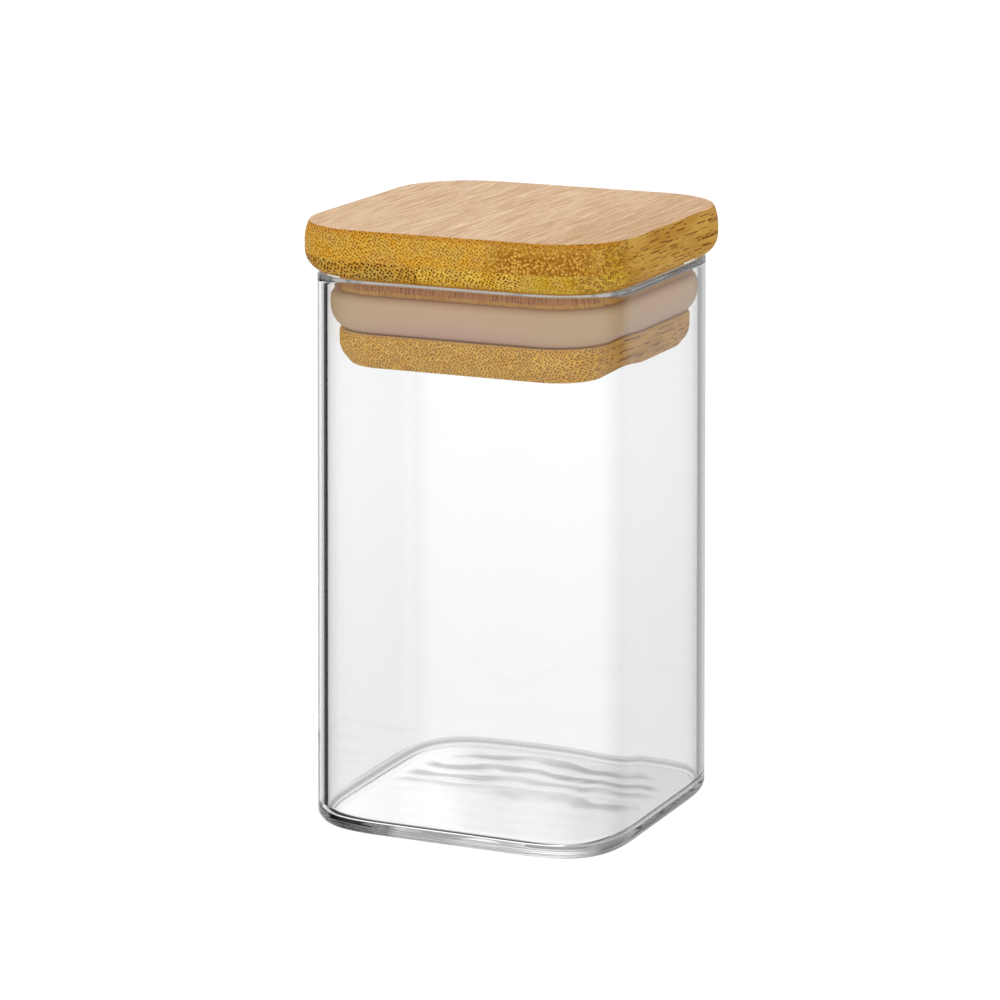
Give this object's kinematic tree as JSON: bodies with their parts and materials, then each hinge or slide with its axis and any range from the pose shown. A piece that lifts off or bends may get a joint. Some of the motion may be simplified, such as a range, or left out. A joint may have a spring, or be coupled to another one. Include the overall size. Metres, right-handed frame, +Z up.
{
  "type": "spice jar",
  "caption": "Square clear glass spice jar with rounded corners and a lift-off laminated bamboo lid sealed by a silicone ring.",
  "frame": {"origin": "centre of the jar's flat base, on the surface it stands on", "axes": "+Z up through the mouth and lid, Y along the bamboo fibres of the lid"},
  "size_m": [0.0688, 0.0688, 0.12],
  "materials": {
    "clear_glass": "clear, fire polished",
    "beige_silicone": "translucent satin",
    "bamboo_upper_ply": "sanded, light oil",
    "bamboo_lower_ply": "sanded, light oil",
    "bamboo_plug": "sanded, light oil"
  },
  "bodies": {
    "jar": {"glass_jar": "clear_glass"},
    "lid": {"lid_upper_left_strip_1": "bamboo_upper_ply", "lid_upper_left_strip_2": "bamboo_upper_ply", "lid_upper_right_strip_1": "bamboo_upper_ply", "lid_upper_right_strip_2": "bamboo_upper_ply", "lid_lower_left_strip_1": "bamboo_lower_ply", "lid_lower_left_strip_2": "bamboo_lower_ply", "lid_lower_right_strip_1": "bamboo_lower_ply", "lid_lower_right_strip_2": "bamboo_lower_ply", "plug_core": "bamboo_plug", "plug_flange": "bamboo_plug", "silicone_ring": "beige_silicone"}
  },
  "joints": [
    {"name": "lid_lift", "type": "slide", "parent": "jar", "child": "lid", "axis": [0, 0, 1], "range_m": [0, 0.06]}
  ]
}
